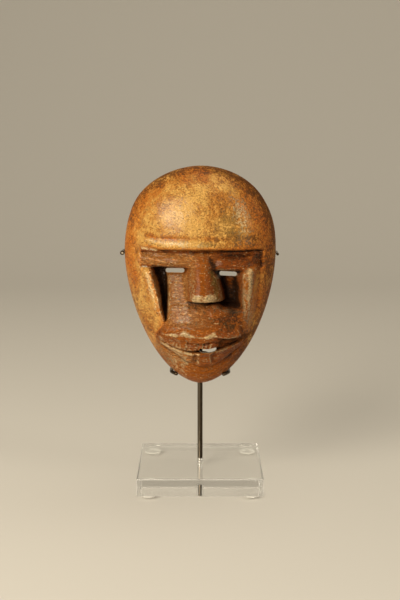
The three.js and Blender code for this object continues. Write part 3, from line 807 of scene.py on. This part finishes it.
openings = (  # slots that go through the wood, and fall a little towards the back
    {"x": -13.8, "level": -11.2, "atHeight": 14, "width": 10.6, "height": 2.4, "fall": 8, "turn": -1, "bend": 0},
    {"x": 15.6, "level": -12.4, "atHeight": 14, "width": 9.8, "height": 2.4, "fall": 8, "turn": -3, "bend": 0},
    {"x": 4.4, "level": -54.2, "atHeight": 24, "width": 9.6, "height": 2.3, "fall": 10, "turn": 4, "bend": 0.04},
)
slotLength = 60  # well past the wood on both sides


def makeSlotCutter(slot):
    radius = slot["height"] / 2
    reach = slot["width"] / 2 - radius
    bm = bmesh.new()
    bmesh.ops.create_circle(bm, cap_ends=True, segments=34, radius=radius)
    for vert in bm.verts:
        vert.co.x += reach if vert.co.x > 0 else -reach
    bmesh.ops.subdivide_edges(bm, edges=[e for e in bm.edges if e.calc_length() > reach], cuts=7)
    for vert in bm.verts:  # cut by hand, so nowhere quite straight
        vert.co.y += slot["bend"] * vert.co.x**2 + 0.16 * noise.noise(vert.co * 0.9 + Vector((slot["x"], 0, 0)))
    pulled = bmesh.ops.extrude_face_region(bm, geom=bm.faces[:])["geom"]
    bmesh.ops.translate(bm, vec=(0, 0, slotLength), verts=vertsOf(pulled))
    bmesh.ops.recalc_face_normals(bm, faces=bm.faces)
    bmesh.ops.translate(bm, vec=(0, 0, -slotLength / 2), verts=bm.verts)
    for degrees, axis in ((slot["turn"], "Z"), (90 - slot["fall"], "X")):
        bmesh.ops.rotate(bm, matrix=Matrix.Rotation(math.radians(degrees), 3, axis), verts=bm.verts)
    shift = (slot["x"], rimY - slot["atHeight"], widestZ + slot["level"] - maskShape["slope"] * slot["x"])
    bmesh.ops.translate(bm, vec=shift, verts=bm.verts)
    bmesh.ops.scale(bm, vec=(mm, mm, mm), verts=bm.verts)
    mesh = toMesh("slot cutter", bm)
    # painted shade on the slots' walls
    paint(mesh, stain=0.9, soot=0.6)
    return mesh


# patina: honey wood where hands have rubbed it, red-brown where the knife went in; painted shade darkens the
# hollows and painted highlights lighten the ridges

patina = {
    "honey": (0.6, 0.326, 0.0829),
    "amber": (0.46, 0.189, 0.0317),
    "orangeBrown": (0.46, 0.124, 0.0122),
    "redBrown": (0.35, 0.08, 0.011),
    "ember": (0.56, 0.153, 0.0122),
    "oliveAndShade": (0.2, 0.121, 0.0268),
    "umber": (0.115, 0.04, 0.00854),
    "dark": (0.028, 0.0116, 0.00488),
    "pale": (0.88, 0.632, 0.317),
    "dust": (0.66, 0.311, 0.0951),
    "insideWood": (0.62, 0.38, 0.19),
    "insideDark": (0.085, 0.042, 0.02),
}


def makeWoodMaterial():
    shader = Shader("honey wood")
    point = shader.objectPoint()
    stain, ember, oliveAndShade, wearAndHighlight, soot, grime, dust, inside = (shader.attribute(name) for name in paints)

    def patches(scale, detail, roughness, low, high, stretch=(1, 1, 1), turn=0.0, distortion=0.0):
        place = shader.scaled(point, stretch, (0, turn, 0))
        return shader.between(shader.noise(place, scale, detail, roughness, distortion), low, high)

    broad = patches(60, 3, 0.5, 0.36, 0.64)
    blotches = patches(200, 5, 0.65, 0.37, 0.63, (1, 1, 0.8), distortion=0.4)
    speckle = patches(900, 4, 0.62, 0.37, 0.63, (0.9, 1, 0.8))
    streaks = patches(900, 4, 0.7, 0.38, 0.62, (0.3, 1, 1.5), 0.12)
    glints = patches(1150, 3, 0.55, 0.60, 0.69, (0.5, 1, 1.1), 0.2)
    longGrain = patches(700, 4, 0.65, 0.35, 0.65, (1, 1, 0.12))
    specks = shader.noise(shader.scaled(point, (0.75, 1, 1.2), (0, 0.6, 0)), 1150, 4, 0.75, 0.5)
    fine = shader.noise(point, 2400, 3, 0.6)

    def uneven(large, small):
        return (blotches - 0.5) * large + (speckle - 0.5) * small

    cut = shader.between(stain, 0.5, 0.9)
    cutGrain = cut * streaks
    tone = stain + ((broad - 0.5) * 0.4 + uneven(0.4, 0.24)) * (1 - stain * 0.45)
    # the olive, grime and dark masks carry painted shade as well as the wood's own colour; the pale mask carries
    # painted highlights as well as wear
    oliveAndShadeAmount = shader.between(oliveAndShade + uneven(0.5, 0.3), 0.2, 0.9)
    wearAndHighlightAmount = shader.between(wearAndHighlight + uneven(0.4, 0.6), 0.26, 1.05)
    grimeAndShadeAmount = shader.between(grime + uneven(0.6, 0.8), 0.25, 1.1)
    pores = shader.between(specks + grime * 0.08 + broad * 0.05, 0.59, 0.655)
    sooty = shader.between(soot + uneven(0.25, 0.2) + cutGrain * 0.12, 0.16, 0.9)
    stops = [(0.0, patina["honey"]), (0.38, patina["amber"]), (0.7, patina["orangeBrown"]),
             (1.0, patina["redBrown"])]
    colour = shader.node("ShaderNodeValToRGB", {"stops": stops}, tone)
    # umber in the grooves between the grain's streaks is painted shade, the glints in pale are painted
    # highlights, and the dark layer is mostly painted shade
    layers = [(dust * (0.25 + speckle * 0.4 + cutGrain * 0.35), "dust"),
              (ember * (0.55 + blotches * 0.4), "ember"), (cut * (1 - streaks) * 0.3, "umber"),
              (oliveAndShadeAmount * 0.85, "oliveAndShade"), (wearAndHighlightAmount * 0.85, "pale"), (cut * glints * 0.55, "pale"),
              (grimeAndShadeAmount * 0.85, "umber"), (pores * 0.6, "umber"), (sooty * 0.95, "dark")]
    for amount, name in layers:
        colour = shader.blend(amount, colour, patina[name])
    # the hollow's bare wood, darker deep down and in its gouges as painted shade
    bareWood = shader.blend(longGrain * 0.3 + blotches * 0.2 + grime * 0.5,
                            patina["insideWood"], patina["insideDark"])
    colour = shader.blend(inside * 0.92, colour, bareWood)
    gloss = 0.36 + speckle * 0.1 + pores * 0.15 + inside * 0.2 + grime * 0.25 - cut * 0.06
    polish = (1 - grime) * (1 - inside) * (1 - ember * 0.6) * (0.34 - cut * 0.18) + wearAndHighlightAmount * cut * 0.4
    normal = shader.bump(speckle + fine * 0.5 - pores * 0.4 + cutGrain * 2.6 + inside * longGrain, 0.9, 0.0005)
    return shader.finish(Base_Color=colour, Roughness=gloss, Normal=normal, Specular_IOR_Level=0.08,
                         Coat_Weight=polish, Coat_Roughness=0.24)


def makeMask():
    mask = addPiece("carved_mask", makeMaskBlank(), makeWoodMaterial(), "mask")
    cutAway(mask, [makeHollowCutter(), *(makeSlotCutter(slot) for slot in openings)], "MANIFOLD")
    faces = mask.data.polygons
    faces.foreach_set("use_smooth", [True] * len(faces))
    mask.data.set_sharp_from_angle(angle=math.radians(50))
    print("mask carved:", sum(len(face.vertices) - 2 for face in faces), "triangles")


makeMask()


# the stand: clear block on four clear pads, steel rod and two bent wires, in millimetres

wires = {"upperRadius": 0.75, "lowerRadius": 1.0, "bend": 1.9, "sides": 20, "y": 2.85, "gripLevel": -68.6,
         "colour": (0.095, 0.066, 0.040)}
# the rod's streak is the strength of a painted highlight down its front left
rod = {"radius": 1.5, "y": 5.7, "foot": 4.3, "top": 138.4, "bevel": 0.3, "rings": 60, "ringsFrom": 12.7,
       "ringsTo": 137.6, "streak": 0.23, "colour": (0.052, 0.037, 0.023)}
block = {"side": 70.0, "thickness": 10.0, "edge": 0.55, "socketRadius": 1.95, "socketDepth": 8.5,
         "colour": (0.995, 1.0, 0.998)}
pads = {"radius": 5.0, "height": 2.5, "gap": 0.25, "footShare": 0.62, "fromCentre": 28.5, "clearRadius": 4.1,
        "colour": (0.97, 0.96, 0.93)}


def makeSteelMaterial(name, colour):
    shader = Shader(name)
    point = shader.objectPoint()
    mottle = shader.noise(point, 420, 4, 0.6)
    streak = shader.noise(shader.scaled(point, (1, 1, 0.12)), 1500, 2, 0.5)
    tone = shader.blend(shader.between(mottle, 0.35, 0.7), colour, [part * 0.7 for part in colour])
    # lighter where the steel is bare, and along the rod's painted highlight
    tone = shader.blend(shader.attribute("bareAndHighlight"), tone, (0.5, 0.43, 0.34))
    return shader.finish(Base_Color=tone, Metallic=1.0, Roughness=0.17 + mottle * 0.12,
                         Normal=shader.bump(streak + mottle, 0.15, 0.0002))


def makeClearMaterial(name, colour, roughness, ior, transmission, alpha):
    return Shader(name).finish(Base_Color=colour, Roughness=roughness, IOR=ior,
                               Transmission_Weight=transmission, Alpha=alpha)


steel = makeSteelMaterial("dark steel", wires["colour"])
rodSteel = makeSteelMaterial("rod steel", rod["colour"])
acrylic = makeClearMaterial("clear acrylic", block["colour"], 0.008, 1.49, 1.0, 0.96)
# a painted highlight: the rounded edges partly white and matt, so they show as light lines
litEdgeAcrylic = makeClearMaterial("acrylic edge with painted highlight", (1.0, 1.0, 1.0), 0.2, 1.49, 0.8, 0.96)
padRubber = makeClearMaterial("clear rubber", pads["colour"], 0.05, 1.46, 0.5, 0.5)
padRimHighlight = makeClearMaterial("clear rubber with painted rim highlight", pads["colour"], 0.05, 1.46, 0.3, 0.95)


def rounded(corners, bend):  # a path through the corners, each one rounded off
    points = [corners[0]]
    for before, corner, after in zip(corners, corners[1:], corners[2:]):
        into = corner + (before - corner).normalized() * bend
        away = corner + (after - corner).normalized() * bend
        for share in np.linspace(0, 1, 9):
            points.append(into.lerp(corner, share).lerp(corner.lerp(away, share), share))
    return points + [corners[-1]]


def makeTube(name, node, rows, material, streak=0):  # each row: centre, direction, radius, share of bare steel; streak adds a painted highlight down one side
    bm = bmesh.new()
    bmesh.ops.create_uvsphere(bm, u_segments=wires["sides"], v_segments=len(rows) - 1, radius=1)
    frames = []
    across = Vector((0.31, 0.17, 0.94))
    for _, ahead, _, _ in rows:
        across = (across - ahead * across.dot(ahead)).normalized()
        frames.append((across, ahead.cross(across)))
    bareAndHighlightShare = []
    for vert in bm.verts:
        row = round(math.acos(max(-1, min(1, vert.co.z))) / math.pi * (len(rows) - 1))
        angle = math.atan2(vert.co.y, vert.co.x)
        centre, _, radius, bareAndHighlight = rows[row]
        sideways = math.cos(angle) * frames[row][0] + math.sin(angle) * frames[row][1]
        vert.co = (centre + radius * sideways) * mm
        # the streak is a painted highlight down the front left
        bareAndHighlightShare.append(max(bareAndHighlight, streak * float(hump(sideways.x, -0.45, 0.4)) * (sideways.y < 0)))
    piece = addPiece(name, toSmoothMesh(name, bm), material, node)
    setAttribute(piece.data, "bareAndHighlight", np.array(bareAndHighlightShare))
    piece.data.set_sharp_from_angle(angle=math.radians(40))


def makeRod():
    foot, top, bevel, radius = rod["foot"], rod["top"], rod["bevel"], rod["radius"]
    profile = ([(foot, 0), (foot, radius - bevel), (foot + bevel, radius)]
               + [(z, radius) for z in np.linspace(rod["ringsFrom"], rod["ringsTo"], rod["rings"])]
               + [(top - bevel, radius), (top, radius - bevel), (top, 0)])
    rows = [(Vector((0, rod["y"], z)), Vector((0, 0, 1)), wide, 0.0) for z, wide in profile]
    makeTube("steel_rod", "stand_rod", rows, rodSteel, rod["streak"])


def makeClip(name, node, halfRoute, radius, tipRadii):
    corners = [Vector((-at.x, at.y, at.z)) for at in reversed(halfRoute)] + halfRoute
    for corner in corners:  # the mask hangs a little lower on the viewer's right
        corner.z -= 0.01 * corner.x
    path = rounded(corners, wires["bend"])
    ways = [(after - before).normalized() for before, after in zip(path, path[1:])]
    rows = [(at, way, radius, 0.0) for at, way in zip(path, ways)][1:]
    tips = []
    for wide in tipRadii:  # a tip is rounded off, or opened into a small sleeve round the bare cut end
        if wide > radius:
            tips.append([(-2.4, radius, 0), (-1.5, wide, 0), (-0.25, wide, 0), (0, wide * 0.9, 0),
                         (-0.05, wide * 0.5, 0), (-0.25, wide * 0.42, 1), (-0.25, 0, 1)])
        else:
            tips.append([(-0.8, radius, 0), (-0.3, wide * 0.85, 0), (0, wide * 0.4, 0), (0, 0, 0)])
    first = [(path[0] - ways[0] * along, ways[0], wide, bareAndHighlight) for along, wide, bareAndHighlight in reversed(tips[0])]
    last = [(path[-1] + ways[-1] * along, ways[-1], wide, bareAndHighlight) for along, wide, bareAndHighlight in tips[1]]
    makeTube(name, node, first + rows + last, steel)


def makeClips():
    side, level = maskShape["halfWidth"] + wires["upperRadius"] + 0.1, widestZ - 2.0
    gripX = float(halfWidthAt(wires["gripLevel"])) + 0.9
    gripZ = widestZ + wires["gripLevel"] - 0.95
    upper = [(side, wires["y"], level), (side, -6.2, level), (side + 0.1, -9.6, level - 0.1)]
    lower = [(3.5, wires["y"], gripZ + 9), (gripX, wires["y"], gripZ), (gripX, -7.2, gripZ),
             (gripX - 3.4, -12.6, gripZ - 0.2)]
    makeClip("upper_wire", "upper_clip_wire", [Vector(at) for at in upper], wires["upperRadius"], (1.25, 0.75))
    makeClip("lower_wire", "lower_clip_wire", [Vector(at) for at in lower], wires["lowerRadius"], (0.9, 0.9))


def makeBlock():
    side, thickness, radius = block["side"] * mm, block["thickness"] * mm, block["socketRadius"] * mm
    top, rodY = pads["height"] * mm + thickness, rod["y"] * mm
    bm = bmesh.new()
    bmesh.ops.create_cube(bm, size=1)
    bmesh.ops.scale(bm, vec=(side, side, thickness), verts=bm.verts)
    bmesh.ops.translate(bm, vec=(0, 0, top - thickness / 2), verts=bm.verts)
    bmesh.ops.bevel(bm, geom=bm.edges[:], offset=block["edge"] * mm, affect="EDGES", segments=4, profile=0.5,
                    material=-1)
    piece = addPiece("acrylic_base", toSmoothMesh("acrylic_base", bm), acrylic, "acrylic_block")
    drill = bmesh.new()
    bmesh.ops.create_cone(drill, cap_ends=True, segments=64, radius1=radius, radius2=radius,
                          depth=2 * block["socketDepth"] * mm)
    bmesh.ops.translate(drill, vec=(0, rodY, top), verts=drill.verts)
    cutAway(piece, [toMesh("drill", drill)], "EXACT")
    piece.data.set_sharp_from_angle(angle=math.radians(35))
    piece.data.materials.append(litEdgeAcrylic)
    faces = piece.data.polygons
    faces.foreach_set("use_smooth", [face.area < 1e-4 for face in faces])
    for face in faces:  # the rounded edges, though not the socket, get the painted edge highlight
        fromRod = math.hypot(face.center.x, face.center.y - rodY)
        face.material_index = int(max(abs(part) for part in face.normal) < 0.995 and fromRod > 1.5 * radius)
    piece.visible_shadow = piece.visible_diffuse = False  # light falls through it onto the paper


def makePad(name, node, x, y):  # a clear bumper: flat on top and domed towards the table
    top = pads["height"] - pads["gap"]
    bm = bmesh.new()
    bmesh.ops.create_uvsphere(bm, u_segments=48, v_segments=32, radius=1)
    for vert in bm.verts:
        wide, height = math.hypot(vert.co.x, vert.co.y), top
        if vert.co.z <= 0:
            wide = mix(pads["footShare"] * wide, wide, (1 - min(1, -vert.co.z) ** 3) ** 0.4)
            height = top * (1 + vert.co.z)
        turn = math.atan2(vert.co.y, vert.co.x)
        wide = wide * pads["radius"]
        vert.co = Vector((x + wide * math.cos(turn), y + wide * math.sin(turn), height)) * mm
    piece = addPiece(name, toSmoothMesh(name, bm), padRubber, node)
    piece.data.set_sharp_from_angle(angle=math.radians(40))
    piece.data.materials.append(padRimHighlight)  # painted highlight: whiter round the rim, where the side shows through the block
    faces = piece.data.polygons
    faces.foreach_set("use_smooth", [face.normal.z < 0.9 for face in faces])
    for face in faces:
        fromMiddle = math.hypot(face.center.x / mm - x, face.center.y / mm - y)
        face.material_index = int(fromMiddle > pads["clearRadius"])


makeRod()
makeClips()
makeBlock()
for sideName, sideX in (("left", -1), ("right", 1)):
    for endName, endY in (("front", -1), ("back", 1)):
        makePad(f"pad_{endName}_{sideName}_dome", f"pad_{endName}_{sideName}",
                sideX * pads["fromCentre"], endY * pads["fromCentre"])
print("stand made")
